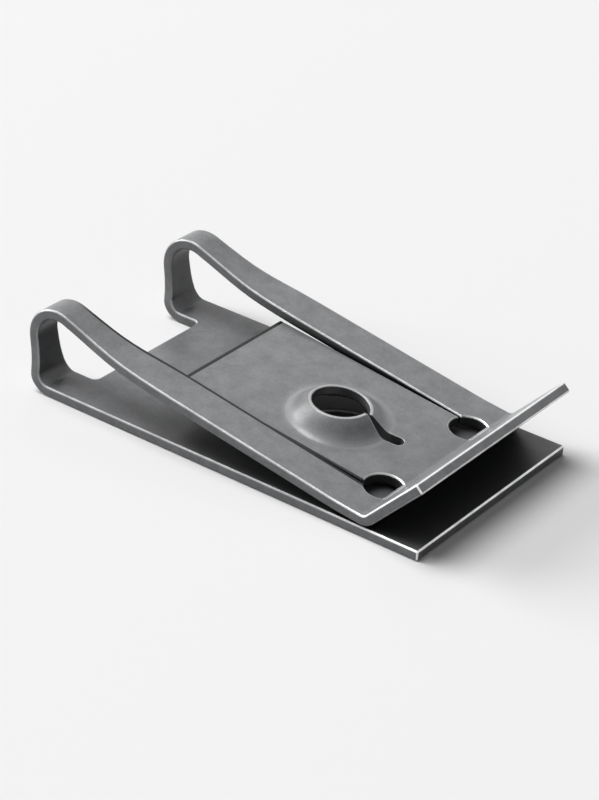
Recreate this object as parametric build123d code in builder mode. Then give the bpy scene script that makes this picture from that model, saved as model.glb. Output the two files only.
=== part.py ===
from build123d import *

import os
from math import acos, atan2, cos, degrees, hypot, radians, sin, tan

# U-shaped clip-on speed nut: one blank of spring steel, pierced, formed and folded.
# +X points from the loops at the rear to the open end, +Y is across the width and +Z is up.
# The origin lies on the underside of the flat leg, in the middle of the nut's length and width.

# The blank
sheet = 0.55  # thickness of the steel
width = 12.7
edge_break = 0.07  # chamfer left along the sheared edges
corner_radius = 0.1  # corners of the blank in plan

# The flat leg
length = 24.2  # rear of the loops to the free end of the leg
notch_depth = 2.8  # rear of the loops to the rear edge of the leg, between the loops
notch_corner = 0.3
clearance_radius = 2.75  # hole that the screw passes through freely

# The two loops and their straps, which narrow to a neck over the top of each loop
height = 4.85  # underside of the flat leg to the top of the loops
heel_from_rear = 0.44  # each leg leans back by this much over its heel
heel_radius = 0.65  # inside of the fold from the flat leg into the loop
crown_radius = 1.25  # inside of the fold at the top of the loop
strap_width = 2.2
neck_width = 1.6
neck_from_rear = 9.5  # where the strap reaches its full width
knee_from_rear = 5.4  # where the steep run from the crown eases off
knee_drop = 1.17  # below the top of the loops
knee_radius = 15.0
root_radius = 12.0  # where each strap rises out of the plane of the tongue, behind its relief

# The nose, where both legs close on the panel, and the lip that guides the panel in
nose_from_front = 3.3
nose_gap = 0.06  # between the nose and the flat leg
nose_radius = 0.4  # inside of the fold
lip_angle = 46.5

# The tongue, parted from the straps by two sheared slits that end in round reliefs
tongue_angle = 6.9
tongue_from_front = 16.0  # rear edge of the tongue
slit = 0.12
relief_from_front = 3.9
relief_radius = 1.0
relief_spacing = 7.2  # centre to centre across the width

# The thread impression: a cone drawn up out of the tongue, its rim climbing one turn of a helix
bore_from_front = 8.82
bore_offset = -0.6
bore_radius = 1.48
rim_land = 0.15  # width of the rim's top
rim_height = 0.8  # above the tongue, half way round the turn
rim_rise = 0.5  # climb of the rim from one side of the slot to the other
bearing_wall = 0.45  # height of the wall that bears on the screw's thread
foot_radius = 2.85
foot_ease = 0.4  # share of the flank's spread over which it leaves the sheet
flank_run = 0.45  # share of the flank next to the rim that is straight
slot_width = 0.7
slot_reach = 3.6  # centre of the bore to the end of the slot
slot_bearing = 9.0  # angle of the slot from the length of the nut

# Places that follow from the sizes
front = length / 2
rear = -length / 2
notch_x = rear + notch_depth
nose_x = front - nose_from_front
relief_x = front - relief_from_front
bore_x = front - bore_from_front
tongue_x = front - tongue_from_front
root_x = relief_x - relief_radius
knee_x = rear + knee_from_rear
knee_z = height - knee_drop
heel_x = rear + heel_from_rear
strap_inside = width / 2 - strap_width
tongue_half = strap_inside - slit
narrowing = (strap_width - neck_width) / 2
slope = tan(radians(tongue_angle))
lip_slope = tan(radians(lip_angle))

# Centres of the folds at the crown and at the nose
crown_outside = crown_radius + sheet
crown_x = rear + crown_outside
crown_z = height - crown_outside
nose_z = sheet + nose_gap + sheet + nose_radius


def bearing(x, z):
    """Direction of a point from the centre of the crown's fold, in degrees."""
    return degrees(atan2(z - crown_z, x - crown_x)) % 360


def spread_of(x, z):
    """Half the angle that the crown's fold spans, seen from a point outside it, in degrees."""
    return degrees(acos(crown_outside / hypot(x - crown_x, z - crown_z)))


def meeting(x, z, radius, first, second):
    """Where the straight runs on both sides of a fold would meet: the fold has its centre at
    (x, z) and the runs touch it in two directions, in degrees."""
    middle = radians((first + second) / 2)
    reach = radius / cos(radians((first - second) / 2))
    return (x + reach * cos(middle), z + reach * sin(middle))


leg_touch = bearing(heel_x, 0) - spread_of(heel_x, 0)
strap_touch = bearing(knee_x, knee_z) + spread_of(knee_x, knee_z)
crown_corner = meeting(crown_x, crown_z, crown_outside, leg_touch, strap_touch)
nose_corner = meeting(nose_x, nose_z, nose_radius, 270 - tongue_angle, 270 + lip_angle)
lip_end_x = front - sheet * sin(radians(lip_angle))
lip_end = (lip_end_x, nose_corner[1] + (lip_end_x - nose_corner[0]) * lip_slope)


def tongue_top(x):
    """Height of the upper face of the tongue and the nose's bar at a place along the length."""
    return nose_corner[1] + (nose_corner[0] - x) * slope


# Edges of a strap at its full width and at its neck, and where the neck's drawing-in starts
neck_edges = [
    (width / 2, width / 2 - narrowing),
    (strap_inside, strap_inside + narrowing),
]
neck_x = rear + neck_from_rear
ease = (neck_x - crown_x) / 2
leg_ease = (crown_z - sheet) / 4

# Outer face of the folded sheet, from the free end of the flat leg round to the edge of the lip
outer_face = [
    (front, 0),
    (heel_x, 0),
    crown_corner,
    (knee_x, knee_z),
    (root_x, tongue_top(root_x)),
    nose_corner,
    lip_end,
]
fold_radii = [heel_radius + sheet, crown_outside, knee_radius, root_radius, nose_radius]

# Direction through the thickness of the lip
through_lip = Axis(origin=(0, 0, 0), direction=(-lip_slope, 0, 1))

# Planes on the upper face of the tongue, at the bore and between the reliefs: x runs forward
# along the tongue and z leaves it. At the bore x turns with the slot.
tongue_normal = (slope, 0, 1)
bar = Plane(origin=(relief_x, 0, tongue_top(relief_x)), x_dir=(1, 0, -slope), z_dir=tongue_normal)
seat = Plane(
    origin=(bore_x, bore_offset, tongue_top(bore_x)),
    x_dir=bar.x_dir.rotate(Axis((0, 0, 0), bar.z_dir), slot_bearing),
    z_dir=tongue_normal,
)


def radial_plane(angle):
    """Plane through the bore's axis: x runs outward at an angle from the slot, y along the axis."""
    outward = seat.x_dir.rotate(Axis((0, 0, 0), seat.z_dir), angle)
    return Plane(seat.origin, x_dir=outward, z_dir=outward.cross(seat.z_dir))


def rim_top(angle):
    """Height of the rim above the tongue at an angle from the slot."""
    return rim_height + rim_rise * (angle / 360 - 0.5)


def flank(foot, foot_height, rim, top):
    """Edge of one face of the cone, spreading into the sheet at its foot like a trumpet's bell."""
    spread = foot - rim
    rise = top - foot_height
    Bezier(
        (foot, foot_height),
        (foot - foot_ease * spread, foot_height),
        (rim + flank_run * spread, top - flank_run * rise),
        (rim, top),
    )


def sheared_edges(part):
    """Edges of a part along which two of its faces meet at an angle."""

    def meets_at_angle(edge):
        middle = edge @ 0.5
        normals = [face.normal_at(middle) for face in part.faces() if edge in face.edges()]
        return len(normals) == 2 and normals[0].dot(normals[1]) < 0.9

    return part.edges().filter_by(meets_at_angle)


# Both faces of the cone change height with the angle, so each is lofted through radial sections.
slot_margin = 4  # degrees left out on each side of the slot's middle, inside the slot
steps = 24
angles = [slot_margin + (360 - 2 * slot_margin) * i / steps for i in range(steps + 1)]
core = bore_radius / 2  # the cone's sections start here, inside what the bore takes away
overlap = 0.03  # how far each face runs on past the face of the sheet

with BuildPart() as cone:
    for angle in angles:
        with BuildSketch(radial_plane(angle)):
            with BuildLine():
                top = rim_top(angle)
                flank(foot_radius, -overlap, bore_radius + rim_land, top)
                Polyline(
                    (bore_radius + rim_land, top),
                    (core, top),
                    (core, -sheet / 2),
                    (foot_radius, -sheet / 2),
                    (foot_radius, -overlap),
                )
            make_face()
    loft()

with BuildPart() as hollow:
    for angle in angles:
        with BuildSketch(radial_plane(angle)):
            with BuildLine():
                top = rim_top(angle) - bearing_wall
                flank(foot_radius - rim_land, overlap - sheet, bore_radius, top)
                Polyline(
                    (bore_radius, top),
                    (core, top),
                    (core, -sheet - nose_gap),
                    (foot_radius - rim_land, -sheet - nose_gap),
                    (foot_radius - rim_land, overlap - sheet),
                )
            make_face()
    loft()

# The tongue with the cone in it, which starts inside the nose's bar
with BuildPart() as tongue:
    with BuildSketch(Plane.XZ):
        with BuildLine():
            Line(nose_corner, (tongue_x, tongue_top(tongue_x)))
            offset(amount=-sheet, side=Side.LEFT)
        make_face()
    extrude(amount=tongue_half, both=True)
    chamfer(sheared_edges(tongue), edge_break)

with BuildPart() as clip:
    # One strip of sheet, folded all the way round, as wide as the blank
    with BuildSketch(Plane.XZ):
        with BuildLine():
            FilletPolyline(*outer_face, radius=fold_radii)
            offset(amount=-sheet, side=Side.RIGHT)
        make_face()
    extrude(amount=width / 2, both=True)

    # The middle of the strip goes, from the reliefs back over the loops, which leaves two straps.
    with BuildSketch(Plane.XY.offset(sheet)):
        with Locations((relief_x, 0)):
            Rectangle(length, 2 * strap_inside, align=(Align.MAX, Align.CENTER))
    extrude(amount=height, mode=Mode.SUBTRACT)
    with BuildSketch(Plane.XY):
        with Locations((rear, 0)):
            Rectangle(2 * notch_depth, 2 * strap_inside)
    extrude(amount=height, both=True, mode=Mode.SUBTRACT)

    # Both edges of each strap draw in to the neck: seen from above along the strap,
    with BuildSketch(Plane.XY.offset(sheet)):
        for edge, neck in neck_edges:
            with BuildLine():
                Bezier((neck_x, edge), (neck_x - ease, edge), (crown_x + ease, neck), (crown_x, neck))
                Polyline((crown_x, neck), (crown_x, edge), (neck_x, edge))
            make_face()
        mirror(about=Plane.XZ)
    extrude(amount=height, mode=Mode.SUBTRACT)

    # and seen from the rear up the leg.
    with BuildSketch(Plane(origin=(rear, 0, 0), x_dir=(0, 1, 0), z_dir=(1, 0, 0))):
        for edge, neck in neck_edges:
            with BuildLine():
                Bezier((edge, sheet), (edge, sheet + leg_ease), (neck, sheet + leg_ease), (neck, crown_z))
                Polyline((neck, crown_z), (neck, height), (edge, height), (edge, sheet))
            make_face()
        mirror(about=Plane.YZ)
    extrude(amount=crown_outside, mode=Mode.SUBTRACT)

    # Clearance hole under the bore
    with BuildSketch(Plane.XY):
        with Locations((bore_x, bore_offset)):
            Circle(clearance_radius)
    extrude(amount=sheet, mode=Mode.SUBTRACT)

    # Corners of the blank at the leg's free end, at the lip and in the notch, then every sheared edge
    upright = clip.edges().filter_by(Axis.Z)
    fillet(upright.group_by(Axis.X)[-1], corner_radius)
    fillet(clip.edges().filter_by(through_lip).group_by(Axis.X)[-1], corner_radius)
    fillet(upright.filter_by(lambda edge: abs(edge.center().X - notch_x) < slit), notch_corner)
    chamfer(sheared_edges(clip), edge_break)

    # The tongue and its cone, then the bore and the slot that open the cone
    add(tongue.part)
    add(cone.part)
    add(hollow.part, mode=Mode.SUBTRACT)
    with BuildSketch(seat.offset(-sheet - nose_gap)):
        Circle(bore_radius)
        with Locations((slot_reach / 2, 0)):
            SlotOverall(slot_reach, slot_width)
    extrude(amount=sheet + nose_gap + rim_height + rim_rise, mode=Mode.SUBTRACT)

    # Round reliefs at the front ends of the slits, with a break round their upper edges
    with BuildSketch(bar):
        with GridLocations(0, relief_spacing, 1, 2):
            Circle(relief_radius)
    extrude(amount=-sheet - nose_gap / 2, mode=Mode.SUBTRACT)
    with BuildSketch(bar):
        with GridLocations(0, relief_spacing, 1, 2):
            Circle(relief_radius + edge_break)
    extrude(amount=-edge_break, taper=45, mode=Mode.SUBTRACT)

clip.part.label = "clip"
os.makedirs("parts", exist_ok=True)
export_step(clip.part, "parts/clip.step")
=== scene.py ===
"""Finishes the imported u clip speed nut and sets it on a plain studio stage."""

from math import cos, radians, sin

import bmesh
import bpy
from bpy.props import FloatProperty, FloatVectorProperty, PointerProperty
from mathutils import Matrix, Vector


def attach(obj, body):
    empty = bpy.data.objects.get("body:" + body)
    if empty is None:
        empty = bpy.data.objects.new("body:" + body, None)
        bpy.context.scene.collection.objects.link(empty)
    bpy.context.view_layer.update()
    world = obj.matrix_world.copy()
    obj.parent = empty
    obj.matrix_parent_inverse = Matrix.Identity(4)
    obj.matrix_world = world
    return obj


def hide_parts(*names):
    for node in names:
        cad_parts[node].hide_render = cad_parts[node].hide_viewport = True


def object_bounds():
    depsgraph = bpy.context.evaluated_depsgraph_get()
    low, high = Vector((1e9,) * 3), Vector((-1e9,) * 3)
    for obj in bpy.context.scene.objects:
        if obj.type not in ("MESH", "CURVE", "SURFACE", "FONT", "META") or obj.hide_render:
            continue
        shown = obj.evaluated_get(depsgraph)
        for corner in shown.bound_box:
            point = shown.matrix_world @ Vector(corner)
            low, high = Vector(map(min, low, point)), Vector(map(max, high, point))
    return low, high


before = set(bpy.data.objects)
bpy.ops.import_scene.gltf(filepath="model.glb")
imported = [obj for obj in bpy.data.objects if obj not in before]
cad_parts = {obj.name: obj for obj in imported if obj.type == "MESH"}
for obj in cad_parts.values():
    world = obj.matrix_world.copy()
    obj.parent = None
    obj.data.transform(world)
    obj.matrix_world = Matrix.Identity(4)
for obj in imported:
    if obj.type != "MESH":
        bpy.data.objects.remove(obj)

CAD_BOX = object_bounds()
FLOOR_LEVEL = CAD_BOX[0].z
WORN_AND_LIT = "worn_edge"
SHADING = "shading"
END_FACE, SIDE_FACE = 0.15, 0.95  # sideways lean of a face that is part of an end or a side

bl_info = {
    "name": "U Clip Speed Nut",
    "version": (1, 0, 0),
    "blender": (4, 5, 0),
    "location": "View3D > Sidebar > U Clip",
    "description": "Finishes a folded spring steel u clip and lights it on a studio stage",
    "category": "Object",
}


def linear(code):
    """Turns an sRGB hex colour into the linear values that shaders use."""
    channels = [int(code[i : i + 2], 16) / 255 for i in (1, 3, 5)]
    return [c / 12.92 if c <= 0.04045 else ((c + 0.055) / 1.055) ** 2.4 for c in channels]


def colour(name, description, code):
    """A colour that a user can change, with its default given as sRGB hex."""
    return FloatVectorProperty(
        name=name,
        description=description,
        subtype="COLOR",
        size=3,
        min=0,
        max=1,
        default=linear(code),
    )


def length(name, description, default):
    """A length in metres that a user can change."""
    return FloatProperty(
        name=name,
        description=description,
        default=default,
        min=0,
        precision=6,
        subtype="DISTANCE",
        unit="LENGTH",
    )


def power(name, description, default):
    """A lamp's power that a user can change."""
    return FloatProperty(
        name=name, description=description, default=default, min=0, precision=3, unit="POWER"
    )


def angle(name, description, degrees):
    """An angle that a user can change, with its default given in degrees."""
    return FloatProperty(
        name=name,
        description=description,
        default=radians(degrees),
        subtype="ANGLE",
        unit="ROTATION",
    )


def factor(name, description, default):
    """A share between nothing and all that a user can change."""
    return FloatProperty(
        name=name, description=description, default=default, min=0, max=1, subtype="FACTOR"
    )


class ClipFinish(bpy.types.PropertyGroup):
    """Sizes and colours of the phosphated spring steel."""

    weld: length("Weld", "Corners nearer than this are one corner", 1e-6)
    fold: angle("Fold", "Faces that meet at less than this belong to one surface", 25)
    # The edge breaks, their shoulders and the upright corners are lightened partly as real wear
    # and partly as a painted highlight.
    break_width: length("Edge break", "Surfaces narrower than this are worn edges", 0.00016)
    shoulder: length(
        "Shoulder", "Strip beside each edge break over which the wear fades", 0.0001
    )
    # The settings from here to the rear seam place lines of painted shade along the near slit and
    # behind the tongue.
    slit_line: length("Slit line", "From the middle of the clip to the near slit", 0.00413)
    neck_line: length(
        "Neck line", "From the middle to the near strap's inner edge at its neck", 0.00443
    )
    neck_rear: length("Neck rear", "From the middle back to the neck of the strap", 0.0103)
    neck_front: length(
        "Neck front", "From the middle back to where the strap is at its full width", 0.0026
    )
    shade_line_rear: length(
        "Oil rear",
        "From the middle back to where the line of oil is at its full strength",
        0.009,
    )
    slit_front: length(
        "Slit front", "From the middle to the relief at the end of the slit", 0.008
    )
    tongue_rear: length(
        "Tongue rear", "From the middle of the clip back to the tongue's edge", 0.00382
    )
    tongue_half: length("Tongue half", "Half the width of the tongue", 0.00405)
    seam_half: length("Seam half", "Half the width of the line of oil along a slit", 0.00024)
    rear_seam_half: length(
        "Rear seam half", "Half the width of the line of oil behind the tongue", 0.00018
    )
    cone_forward: length(
        "Cone forward", "From the middle forward to the axis of the bore", 0.00328
    )
    cone_aside: length(
        "Cone aside", "From the middle to the axis of the bore, towards the near side", 0.0006
    )
    # The ring at the foot of the cone is a painted highlight.
    foot_ring: length(
        "Foot ring", "Radius of the burnished ring at the foot of the cone", 0.0025
    )
    ring_half: length("Ring half", "Half the width of the burnished ring", 0.0005)
    ring_strength: factor("Ring strength", "How far the ring's middle is burnished", 0.38)
    # The lines of painted shade are drawn only above this height.
    seam_height: length(
        "Seam height", "The line of oil is above this, on the strap and the tongue", 0.001
    )
    # These set how bright the edges and upright corners are made: partly real wear, partly a
    # painted highlight.
    strap_wear_and_highlight: factor("Strap wear", "How bright the edges are that no panel rubs", 0.35)
    patch_wear_and_highlight: factor(
        "Patch wear", "How bright the edges are in the least rubbed patches", 0.75
    )
    rub_start: length(
        "Rub start", "From the middle to where the panel starts to rub the clip", 0.006
    )
    rub_end: length("Rub end", "From the middle to where the panel rubs it most", 0.0105)
    corner: length("Corner", "Size of the upright corners that are worn bright", 0.0005)
    coat_dark: colour("Dark coat", "Phosphate coat where its crystals are thick", "#77787A")
    coat_pale: colour("Pale coat", "Phosphate coat where it is thin", "#8C8D8F")
    # Painted shade: this near-black darkens slits and corners and draws the lines along the near
    # slit and behind the tongue.
    painted_shade: colour("Oil", "Dried oil left in slits and corners", "#0A0A0B")
    # Painted shade: this dark coat colour darkens the folds and the leg under the lip, where the
    # clip's own walls shut out the light.
    fold_shade: colour(
        "Oily coat",
        "Coat that is never handled and stays oily, in the folds and under the lip",
        "#343536",
    )
    # Painted highlight: this pale colour makes the ring round the foot of the cone.
    ring_highlight: colour(
        "Burnished",
        "Coat pressed smooth at the foot of the cone, where the sheet was drawn",
        "#BCBDBF",
    )
    # Bright edge colour: partly rubbed steel, partly a painted highlight.
    bare_and_highlight: colour("Bare edge", "Steel rubbed bright along the sheared edges", "#F2F2F2")
    blotch: length("Blotch", "Width of one cloud in the coat", 0.0009)
    grain: length("Grain", "Width of one grain in the coat", 0.00014)
    grain_share: factor("Grain share", "Share of the grain in the coat's unevenness", 0.35)
    rounding: length("Rounding", "Radius of the rounding along the edges", 0.00012)
    # Reach of the painted shade in slits and corners.
    recess: length("Recess", "Width of the slits and corners that hold oil", 0.0003)
    # Reach of the painted shade inside the folds and under the lip.
    fold_shade_reach: length("Shelter", "Reach of a hand's touch into the folds", 0.006)
    relief: length("Relief", "Height of the coat's grain", 0.000003)
    roughness: factor("Roughness", "Roughness of the coat", 0.34)
    roughness_spread: factor(
        "Roughness spread", "Change in roughness from thin to thick coat", 0.05
    )
    specular: factor("Specular", "Shine of the porous coat, which is less than a varnish's", 0.3)
    metallic: factor("Metallic", "How much of the steel shows through the coat", 0.15)
    bare_metallic: factor("Bare metallic", "How metallic the rubbed edges are", 0.8)


class StudioStage(bpy.types.PropertyGroup):
    """Camera, lamps and floor."""

    azimuth: angle("Azimuth", "Camera's turn from the near side towards the lip", 35.448)
    elevation: angle("Elevation", "Camera's height above the horizon", 30.006)
    roll: angle("Roll", "Camera's tilt about its own line of sight", 3.25)
    distance: length("Distance", "From the aim point to the camera", 0.1281)
    aim: FloatVectorProperty(
        name="Aim",
        description="Point that the camera looks at",
        default=(0.00152, -0.0015, 0.002425),
        subtype="TRANSLATION",
        unit="LENGTH",
    )
    lens: FloatProperty(
        name="Lens", description="Focal length", default=118.0, min=1, unit="CAMERA"
    )
    floor: colour("Floor", "Plain pale floor", "#F4F4F4")
    floor_width: length("Floor width", "Side of the square floor", 6.0)
    bounce: factor("Bounce", "How much of the floor's paleness lights the part", 0.15)
    sky: FloatProperty(
        name="Sky", description="Strength of the light from all round", default=0.15, min=0
    )
    backdrop: FloatProperty(
        name="Backdrop",
        description="Paleness of the studio's walls where they are seen or mirrored",
        default=1.0,
        min=0,
    )
    key_width: length("Key lamp width", "Width of the soft lamp high above the loops", 1.2)
    key_distance: length("Key lamp distance", "From the part to the key lamp", 2.0)
    key_power: power("Key lamp power", "Power of the key lamp", 26.0)
    key_azimuth: angle("Key lamp azimuth", "Key lamp's turn from the near side", 278)
    key_elevation: angle("Key lamp elevation", "Key lamp's height above the horizon", 68)
    side_width: length("Side lamp width", "Width of the soft lamp low beside the loops", 1.4)
    side_distance: length("Side lamp distance", "From the part to the side lamp", 2.0)
    side_power: power("Side lamp power", "Power of the side lamp", 32.0)
    side_azimuth: angle("Side lamp azimuth", "Side lamp's turn from the near side", 285)
    side_elevation: angle("Side lamp elevation", "Side lamp's height above the horizon", 22)
    back_width: length("Back lamp width", "Width of the weak lamp behind the far strap", 0.6)
    back_distance: length("Back lamp distance", "From the part to the back lamp", 2.0)
    back_power: power("Back lamp power", "Power of the back lamp", 0.8)
    back_azimuth: angle("Back lamp azimuth", "Back lamp's turn from the near side", 215)
    back_elevation: angle("Back lamp elevation", "Back lamp's height above the horizon", 42)


def add_node(tree, kind, inputs=None, **settings):
    """Adds a node, sets it up, and gives its inputs their values or links."""
    node = tree.nodes.new(kind)
    for name, value in settings.items():
        setattr(node, name, value)
    for name, value in (inputs or {}).items():
        if isinstance(value, bpy.types.NodeSocket):
            tree.links.new(value, node.inputs[name])
        else:
            node.inputs[name].default_value = value
    return node


def new_material(name):
    """An empty node material and its output node."""
    material = bpy.data.materials.new(name)
    material.use_nodes = True
    tree = material.node_tree
    tree.nodes.clear()
    return material, tree, add_node(tree, "ShaderNodeOutputMaterial")


def clouded_coat(tree, place, finish):
    """The coat's colour and thinness, and the clouds and the grain that they come from."""
    # Clouds under a millimetre wide, as the bath leaves them on a drained strip.
    clouds = add_node(
        tree,
        "ShaderNodeTexNoise",
        {"Vector": place, "Scale": 1 / finish.blotch, "Detail": 4.0, "Roughness": 0.6},
    ).outputs["Fac"]
    # Phosphate crystals are a hundredth of a millimetre, and are drawn coarser to show.
    grain = add_node(
        tree,
        "ShaderNodeTexNoise",
        {"Vector": place, "Scale": 1 / finish.grain, "Detail": 2.0, "Roughness": 0.5},
    ).outputs["Fac"]
    thinness = add_node(
        tree,
        "ShaderNodeMix",
        {"Factor": finish.grain_share, "A": clouds, "B": grain},
        data_type="FLOAT",
    ).outputs["Result"]
    paleness = add_node(
        tree, "ShaderNodeMapRange", {"Value": thinness, "From Min": 0.35, "From Max": 0.65}
    ).outputs["Result"]
    coat = add_node(
        tree,
        "ShaderNodeMixRGB",
        {
            "Fac": paleness,
            "Color1": (*finish.coat_dark, 1),
            "Color2": (*finish.coat_pale, 1),
        },
    ).outputs["Color"]
    return coat, thinness, clouds, grain


def openness(tree, reach, shut, clear):
    """0 where the clip's own walls within reach shut a spot in, and 1 where it lies clear."""
    light = add_node(
        tree, "ShaderNodeAmbientOcclusion", {"Distance": reach}, samples=8, only_local=True
    ).outputs["AO"]
    return add_node(
        tree, "ShaderNodeMapRange", {"Value": light, "From Min": shut, "From Max": clear}
    ).outputs["Result"]


def edge_wear_and_highlight(tree, spot, clouds, finish):
    """How far the edges are lightened, partly as rubbed wear and partly as a painted highlight:
    most towards the lip, in patches, and not on faces turned down, away from the light.
    """
    marked = add_node(tree, "ShaderNodeAttribute", attribute_name=WORN_AND_LIT).outputs["Fac"]
    shape = add_node(tree, "ShaderNodeNewGeometry").outputs["Normal"]
    softened = add_node(
        tree, "ShaderNodeBevel", {"Radius": finish.shoulder}, samples=8
    ).outputs["Normal"]
    facing = add_node(tree, "ShaderNodeSeparateXYZ", {"Vector": softened}).outputs["Z"]
    # The edge breaks are worn and given a painted highlight, except where they face down, away
    # from the light from above.
    lit_from_above = add_node(
        tree, "ShaderNodeMapRange", {"Value": facing, "From Min": -0.7, "From Max": -0.1}
    ).outputs["Result"]
    worn_and_lit = add_node(
        tree, "ShaderNodeMath", {0: marked, 1: lit_from_above}, operation="MULTIPLY"
    ).outputs["Value"]
    # Beside them the softened surface leans away from the true one, and the wear and painted
    # highlight fade out, on faces that look up only.
    likeness = add_node(
        tree, "ShaderNodeVectorMath", {0: softened, 1: shape}, operation="DOT_PRODUCT"
    ).outputs["Value"]
    shoulder = add_node(
        tree, "ShaderNodeMapRange", {"Value": likeness, "From Min": 0.99, "From Max": 0.92}
    ).outputs["Result"]
    upward = add_node(
        tree, "ShaderNodeMapRange", {"Value": facing, "From Min": -0.2, "From Max": 0.2}
    ).outputs["Result"]
    beside = add_node(
        tree, "ShaderNodeMath", {0: shoulder, 1: upward}, operation="MULTIPLY"
    ).outputs["Value"]
    edge = add_node(
        tree, "ShaderNodeMath", {0: worn_and_lit, 1: beside}, operation="MAXIMUM"
    ).outputs["Value"]
    patches = add_node(
        tree,
        "ShaderNodeMapRange",
        {"Value": clouds, "From Min": 0.3, "From Max": 0.6, "To Min": finish.patch_wear_and_highlight},
    ).outputs["Result"]
    panel = add_node(
        tree,
        "ShaderNodeMapRange",
        {
            "Value": spot["X"],
            "From Min": finish.rub_start,
            "From Max": finish.rub_end,
            "To Min": finish.strap_wear_and_highlight,
        },
    ).outputs["Result"]
    rub = add_node(
        tree, "ShaderNodeMath", {0: panel, 1: patches}, operation="MULTIPLY"
    ).outputs["Value"]
    return add_node(
        tree, "ShaderNodeMath", {0: edge, 1: rub}, operation="MULTIPLY"
    ).outputs["Value"]


def shade_lines(tree, spot, finish):
    """1 on the lines of painted shade along the near strap's inner edge and behind the tongue."""
    inner_edge = add_node(
        tree,
        "ShaderNodeMapRange",
        {
            "Value": spot["X"],
            "From Min": -finish.neck_rear,
            "From Max": -finish.neck_front,
            "To Min": -finish.neck_line,
            "To Max": -finish.slit_line,
        },
        interpolation_type="SMOOTHSTEP",
    ).outputs["Result"]
    beside_slit = add_node(
        tree,
        "ShaderNodeMath",
        {0: spot["Y"], 1: inner_edge, 2: finish.seam_half},
        operation="COMPARE",
    ).outputs["Value"]
    slit_start = add_node(
        tree,
        "ShaderNodeMapRange",
        {"Value": spot["X"], "From Min": -finish.neck_rear, "From Max": -finish.shade_line_rear},
    ).outputs["Result"]
    slit_end = add_node(
        tree, "ShaderNodeMath", {0: spot["X"], 1: finish.slit_front}, operation="LESS_THAN"
    ).outputs["Value"]
    along_slit = add_node(
        tree, "ShaderNodeMath", {0: slit_start, 1: slit_end}, operation="MULTIPLY"
    ).outputs["Value"]
    slit_shade_line = add_node(
        tree, "ShaderNodeMath", {0: beside_slit, 1: along_slit}, operation="MULTIPLY"
    ).outputs["Value"]
    at_rear = add_node(
        tree,
        "ShaderNodeMath",
        {0: spot["X"], 1: -finish.tongue_rear, 2: finish.rear_seam_half},
        operation="COMPARE",
    ).outputs["Value"]
    across = add_node(
        tree,
        "ShaderNodeMath",
        {0: spot["Y"], 1: 0.0, 2: finish.tongue_half},
        operation="COMPARE",
    ).outputs["Value"]
    rear_shade_line = add_node(
        tree, "ShaderNodeMath", {0: at_rear, 1: across}, operation="MULTIPLY"
    ).outputs["Value"]
    seam = add_node(
        tree, "ShaderNodeMath", {0: slit_shade_line, 1: rear_shade_line}, operation="MAXIMUM"
    ).outputs["Value"]
    # The lines of painted shade go only on faces that lie flat, and only above the flat leg.
    above_leg = add_node(
        tree, "ShaderNodeMath", {0: spot["Z"], 1: finish.seam_height}, operation="GREATER_THAN"
    ).outputs["Value"]
    shape = add_node(tree, "ShaderNodeNewGeometry").outputs["Normal"]
    facing = add_node(tree, "ShaderNodeSeparateXYZ", {"Vector": shape}).outputs["Z"]
    level = add_node(
        tree, "ShaderNodeMapRange", {"Value": facing, "From Min": 0.3, "From Max": 0.6}
    ).outputs["Result"]
    flat_above_leg = add_node(
        tree, "ShaderNodeMath", {0: above_leg, 1: level}, operation="MULTIPLY"
    ).outputs["Value"]
    return add_node(
        tree, "ShaderNodeMath", {0: seam, 1: flat_above_leg}, operation="MULTIPLY"
    ).outputs["Value"]


def highlight_ring(tree, place, finish):
    """How far a painted highlight lightens the coat in a ring round the foot of the cone, seen
    from above.
    """
    around = add_node(
        tree,
        "ShaderNodeMapping",
        {
            "Vector": place,
            "Location": (-finish.cone_forward, finish.cone_aside, 0),
            "Scale": (1, 1, 0),
        },
    ).outputs["Vector"]
    from_axis = add_node(
        tree, "ShaderNodeVectorMath", {0: around}, operation="LENGTH"
    ).outputs["Value"]
    past_ring = add_node(
        tree, "ShaderNodeMath", {0: from_axis, 1: finish.foot_ring}, operation="SUBTRACT"
    ).outputs["Value"]
    from_ring = add_node(
        tree, "ShaderNodeMath", {0: past_ring}, operation="ABSOLUTE"
    ).outputs["Value"]
    return add_node(
        tree,
        "ShaderNodeMapRange",
        {
            "Value": from_ring,
            "From Min": finish.ring_half,
            "From Max": 0.0,
            "To Max": finish.ring_strength,
        },
        interpolation_type="SMOOTHSTEP",
    ).outputs["Result"]


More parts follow.
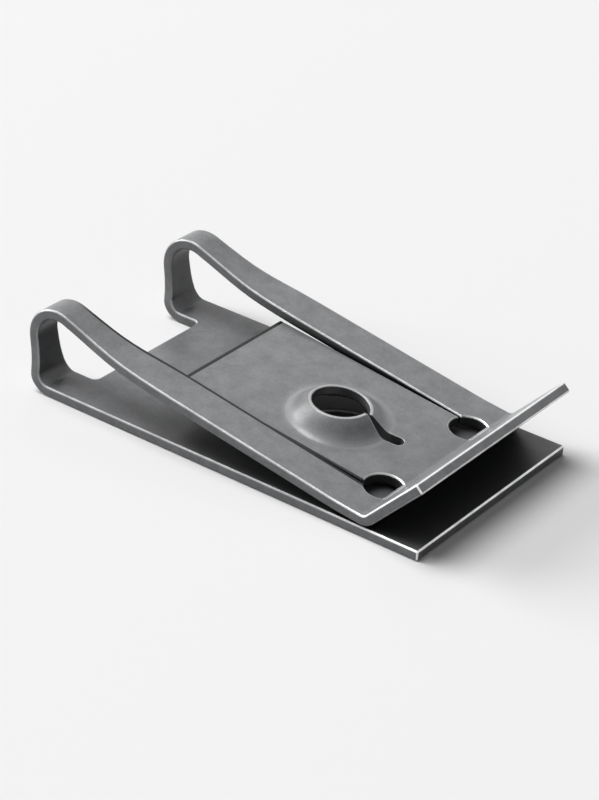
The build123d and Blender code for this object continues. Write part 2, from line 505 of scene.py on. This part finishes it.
def phosphated_spring_steel(finish):
    """Hardened spring steel, phosphated and oiled.

    It gives the eye a dark satin grey, faintly clouded. Its sheared edges are lightened partly as
    wear where hands and the panel reach them and partly as a painted highlight. Painted shade
    draws black lines along the near slit and behind the tongue, darkens slits and corners, and
    darkens the coat inside the folds and under the lip. A painted highlight makes a paler ring
    round the foot of the cone.
    """
    material, tree, output = new_material("phosphated_spring_steel")
    place = add_node(tree, "ShaderNodeTexCoord").outputs["Object"]
    spot = add_node(tree, "ShaderNodeSeparateXYZ", {"Vector": place}).outputs
    coat, thinness, clouds, grain = clouded_coat(tree, place, finish)
    wear_and_highlight = edge_wear_and_highlight(tree, spot, clouds, finish)
    # Painted highlight: a paler ring round the foot of the cone.
    ring_highlight = add_node(
        tree,
        "ShaderNodeMixRGB",
        {
            "Fac": highlight_ring(tree, place, finish),
            "Color1": coat,
            "Color2": (*finish.ring_highlight, 1),
        },
    ).outputs["Color"]
    # Painted shade: the coat darkens inside the folds and under the lip, where the clip's own
    # walls shut it in.
    fold_shaded = add_node(
        tree,
        "ShaderNodeMixRGB",
        {
            "Fac": openness(tree, finish.fold_shade_reach, shut=0.35, clear=0.95),
            "Color1": (*finish.fold_shade, 1),
            "Color2": ring_highlight,
        },
    ).outputs["Color"]
    # Edges lightened towards bright steel: partly real wear, partly a painted highlight.
    rubbed_and_lit = add_node(
        tree,
        "ShaderNodeMixRGB",
        {"Fac": wear_and_highlight, "Color1": fold_shaded, "Color2": (*finish.bare_and_highlight, 1)},
    ).outputs["Color"]
    # Painted shade: slits and corners, and the lines along the near slit and behind the tongue,
    # are darkened to near black.
    clear = openness(tree, finish.recess, shut=0.45, clear=0.9)
    unshaded = add_node(
        tree,
        "ShaderNodeMath",
        {0: clear, 1: shade_lines(tree, spot, finish)},
        operation="SUBTRACT",
        use_clamp=True,
    ).outputs["Value"]
    surface = add_node(
        tree,
        "ShaderNodeMixRGB",
        {"Fac": unshaded, "Color1": (*finish.painted_shade, 1), "Color2": rubbed_and_lit},
    ).outputs["Color"]
    steel = add_node(
        tree,
        "ShaderNodeMapRange",
        {"Value": wear_and_highlight, "To Min": finish.metallic, "To Max": finish.bare_metallic},
    ).outputs["Result"]
    gloss = add_node(
        tree,
        "ShaderNodeMapRange",
        {
            "Value": thinness,
            "From Min": 0.3,
            "From Max": 0.7,
            "To Min": finish.roughness + finish.roughness_spread,
            "To Max": finish.roughness - finish.roughness_spread,
        },
    ).outputs["Result"]
    edges = add_node(
        tree, "ShaderNodeBevel", {"Radius": finish.rounding}, samples=6
    ).outputs["Normal"]
    bump = add_node(
        tree,
        "ShaderNodeBump",
        {"Height": grain, "Distance": finish.relief, "Normal": edges},
    ).outputs["Normal"]
    shader = add_node(
        tree,
        "ShaderNodeBsdfPrincipled",
        {
            "Base Color": surface,
            "Metallic": steel,
            "Roughness": gloss,
            "Specular IOR Level": finish.specular,
            "Normal": bump,
        },
    )
    tree.links.new(shader.outputs["BSDF"], output.inputs["Surface"])
    return material


def surface_of(face, fold, free):
    """The faces that run on from a face without a fold, taken from those still free."""
    found, edge_front = [face], [face]
    free.discard(face)
    while edge_front:
        for edge in edge_front.pop().edges:
            for other in edge.link_faces:
                if other in free and edge.calc_face_angle(fold) < fold:
                    free.discard(other)
                    found.append(other)
                    edge_front.append(other)
    return found


def mean_width(faces):
    """Width of a long strip of faces, from its area and the length of its rim."""
    inside = set(faces)
    rim = sum(
        edge.calc_length()
        for face in faces
        for edge in face.edges
        if not all(other in inside for other in edge.link_faces)
    )
    return 2 * sum(face.calc_area() for face in faces) / rim


def worn_and_lit_corner(face, finish):
    """Whether a face rounds an upright corner at the free end of the leg or of the lip."""
    place = face.calc_center_median()
    inset = (CAD_BOX[1].x - place.x, CAD_BOX[1].y - abs(place.y))
    at_corner = min(inset) > -finish.weld and max(inset) < finish.corner
    return at_corner and END_FACE < abs(face.normal.y) < SIDE_FACE


def joined_skin(node, finish):
    """A CAD node's triangles joined into one skin, with its shading kept.

    Its edge breaks and the corners that hands reach are marked for wear and a painted highlight.
    """
    skin = node.data.copy()
    shading = skin.attributes.new(SHADING, "FLOAT_VECTOR", "CORNER")
    for corner, normal in zip(shading.data, skin.corner_normals):
        corner.vector = normal.vector
    form = bmesh.new()
    form.from_mesh(skin)
    bmesh.ops.remove_doubles(form, verts=form.verts, dist=finish.weld)
    worn_and_lit = form.faces.layers.float.new(WORN_AND_LIT)
    free = set(form.faces)
    while free:
        faces = surface_of(next(iter(free)), finish.fold, free)
        narrow = mean_width(faces) < finish.break_width
        for face in faces:
            # Narrow edge breaks and upright corners are marked for wear and a painted highlight.
            face[worn_and_lit] = float(narrow or worn_and_lit_corner(face, finish))
    form.to_mesh(skin)
    form.free()
    shading = skin.attributes[SHADING]
    skin.normals_split_custom_set([corner.vector for corner in shading.data])
    skin.attributes.remove(shading)
    return skin


class UCLIP_OT_folded_clip(bpy.types.Operator):
    """Finish the folded spring steel clip"""

    bl_idname = "uclip.folded_clip"
    bl_label = "Finish the Clip"

    def execute(self, context):
        finish = context.scene.uclip_finish
        skin = joined_skin(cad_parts["clip"], finish)
        skin.materials.clear()
        skin.materials.append(phosphated_spring_steel(finish))
        piece = bpy.data.objects.new("folded_clip", skin)
        context.scene.collection.objects.link(piece)
        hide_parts("clip")
        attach(piece, "root")
        return {"FINISHED"}


def bearing_vector(azimuth, elevation):
    """Direction from the part: azimuth 0 is its near side, and 90 degrees its lip."""
    return Vector(
        (sin(azimuth) * cos(elevation), -cos(azimuth) * cos(elevation), sin(elevation))
    )


def aimed(place, target, roll=0.0):
    """Matrix of a camera or lamp at a place, looking at a target."""
    turn = (target - place).to_track_quat("-Z", "Y").to_matrix().to_4x4()
    return Matrix.Translation(place) @ turn @ Matrix.Rotation(roll, 4, "Z")


def seen_or_mirrored(tree):
    """1 for what the camera sees itself or in metal and glass, and 0 for what lights the part."""
    rays = add_node(tree, "ShaderNodeLightPath")
    mirrored = add_node(
        tree,
        "ShaderNodeMath",
        {0: rays.outputs["Is Glossy Ray"], 1: rays.outputs["Is Transmission Ray"]},
        operation="MAXIMUM",
    )
    either = add_node(
        tree,
        "ShaderNodeMath",
        {0: rays.outputs["Is Camera Ray"], 1: mirrored.outputs["Value"]},
        operation="MAXIMUM",
    )
    return either.outputs["Value"]


def matt_floor(stage):
    """Matt studio board, pale to the eye.

    It is duller where it lights the part, so that the dark steel stays dark.
    """
    material, tree, output = new_material("matt_studio_board")
    board = add_node(tree, "ShaderNodeBsdfDiffuse", {"Color": (*stage.floor, 1)})
    dim = [channel * stage.bounce for channel in stage.floor]
    dull = add_node(tree, "ShaderNodeBsdfDiffuse", {"Color": (*dim, 1)})
    mix = add_node(tree, "ShaderNodeMixShader", {"Fac": seen_or_mirrored(tree)})
    tree.links.new(dull.outputs["BSDF"], mix.inputs[1])
    tree.links.new(board.outputs["BSDF"], mix.inputs[2])
    tree.links.new(mix.outputs["Shader"], output.inputs["Surface"])
    return material


class UCLIP_OT_stage(bpy.types.Operator):
    """Set the floor, the lamps and the camera"""

    bl_idname = "uclip.stage"
    bl_label = "Set the Stage"

    def execute(self, context):
        stage = context.scene.uclip_stage
        self.lay_floor(context, stage)
        self.light(context, stage)
        self.place_camera(context, stage)
        return {"FINISHED"}

    def lay_floor(self, context, stage):
        board = bpy.data.meshes.new("studio_floor")
        form = bmesh.new()
        bmesh.ops.create_grid(form, x_segments=1, y_segments=1, size=stage.floor_width / 2)
        bmesh.ops.translate(form, verts=form.verts, vec=(0, 0, FLOOR_LEVEL))
        form.to_mesh(board)
        form.free()
        board.materials.append(matt_floor(stage))
        floor = bpy.data.objects.new("studio_floor", board)
        context.scene.collection.objects.link(floor)

    def light(self, context, stage):
        world = bpy.data.worlds.new("studio_air")
        world.use_nodes = True
        tree = world.node_tree
        tree.nodes.clear()
        air = add_node(
            tree, "ShaderNodeBackground", {"Color": (1, 1, 1, 1), "Strength": stage.sky}
        )
        wall = add_node(
            tree, "ShaderNodeBackground", {"Color": (1, 1, 1, 1), "Strength": stage.backdrop}
        )
        mix = add_node(tree, "ShaderNodeMixShader", {"Fac": seen_or_mirrored(tree)})
        tree.links.new(air.outputs["Background"], mix.inputs[1])
        tree.links.new(wall.outputs["Background"], mix.inputs[2])
        output = add_node(tree, "ShaderNodeOutputWorld")
        tree.links.new(mix.outputs["Shader"], output.inputs["Surface"])
        context.scene.world = world
        for name in ("key", "side", "back"):
            lamp = bpy.data.lights.new(f"{name}_lamp", "AREA")
            lamp.shape = "DISK"
            lamp.size = getattr(stage, f"{name}_width")
            lamp.energy = getattr(stage, f"{name}_power")
            holder = bpy.data.objects.new(f"{name}_lamp", lamp)
            turn = getattr(stage, f"{name}_azimuth")
            rise = getattr(stage, f"{name}_elevation")
            place = getattr(stage, f"{name}_distance") * bearing_vector(turn, rise)
            holder.matrix_world = aimed(place, Vector())
            context.scene.collection.objects.link(holder)

    def place_camera(self, context, stage):
        camera = bpy.data.cameras.new("studio_camera")
        camera.lens = stage.lens
        camera.clip_start = stage.distance / 20
        camera.clip_end = stage.floor_width * 2
        holder = bpy.data.objects.new("studio_camera", camera)
        aim = Vector(stage.aim)
        place = aim + stage.distance * bearing_vector(stage.azimuth, stage.elevation)
        holder.matrix_world = aimed(place, aim, stage.roll)
        context.scene.collection.objects.link(holder)
        context.scene.camera = holder


class UCLIP_PT_panel(bpy.types.Panel):
    """Lists the pieces and the stage with their settings"""

    bl_idname = "UCLIP_PT_panel"
    bl_label = "U Clip"
    bl_space_type = "VIEW_3D"
    bl_region_type = "UI"
    bl_category = "U Clip"

    def draw(self, context):
        scene = context.scene
        for settings, operators in (
            (scene.uclip_finish, (UCLIP_OT_folded_clip,)),
            (scene.uclip_stage, (UCLIP_OT_stage,)),
        ):
            box = self.layout.box()
            for name in settings.__annotations__:
                box.prop(settings, name)
            for operator in operators:
                box.operator(operator.bl_idname)


CLASSES = (ClipFinish, StudioStage, UCLIP_OT_folded_clip, UCLIP_OT_stage, UCLIP_PT_panel)


def register():
    for item in CLASSES:
        bpy.utils.register_class(item)
    bpy.types.Scene.uclip_finish = PointerProperty(type=ClipFinish)
    bpy.types.Scene.uclip_stage = PointerProperty(type=StudioStage)


def unregister():
    del bpy.types.Scene.uclip_stage
    del bpy.types.Scene.uclip_finish
    for item in reversed(CLASSES):
        bpy.utils.unregister_class(item)


def main():
    register()
    scene = bpy.context.scene
    scene.view_settings.view_transform = "Standard"
    bpy.ops.uclip.folded_clip()
    bpy.ops.uclip.stage()


if __name__ == "__main__":
    main()
